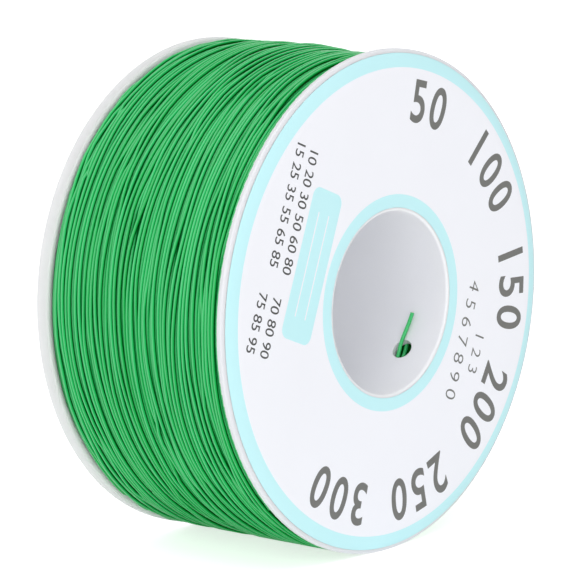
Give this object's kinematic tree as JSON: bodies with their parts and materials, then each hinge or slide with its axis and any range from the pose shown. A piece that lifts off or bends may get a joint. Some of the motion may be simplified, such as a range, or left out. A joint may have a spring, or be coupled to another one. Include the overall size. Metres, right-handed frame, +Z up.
{
  "type": "wire spool",
  "caption": "Flanged plastic spool wound full of fine green insulated wire, with a wide through bore, a round printed label on one face and the wire's inner end held in the barrel.",
  "frame": {"origin": "on the spool's axis, midway between its two outer faces", "axes": "+Y along the spool's axis, away from the labelled side, which faces -Y; +Z up, the spool standing on the rims of its flanges"},
  "size_m": [0.07, 0.0344, 0.07],
  "materials": {
    "spool_plastic": "smooth moulded white",
    "label_paper": "printed paper, matt",
    "wire_insulation": "smooth extruded green, satin",
    "wire_conductor": "silver-plated copper, bright"
  },
  "bodies": {
    "root": {"barrel": "spool_plastic", "front_flange": "spool_plastic", "rear_flange": "spool_plastic", "front_label": "label_paper", "inner_windings": "wire_insulation", "outer_windings": "wire_insulation", "inner_end_insulation": "wire_insulation", "inner_end_conductor": "wire_conductor", "outer_end_insulation": "wire_insulation", "outer_end_conductor": "wire_conductor"}
  },
  "joints": []
}
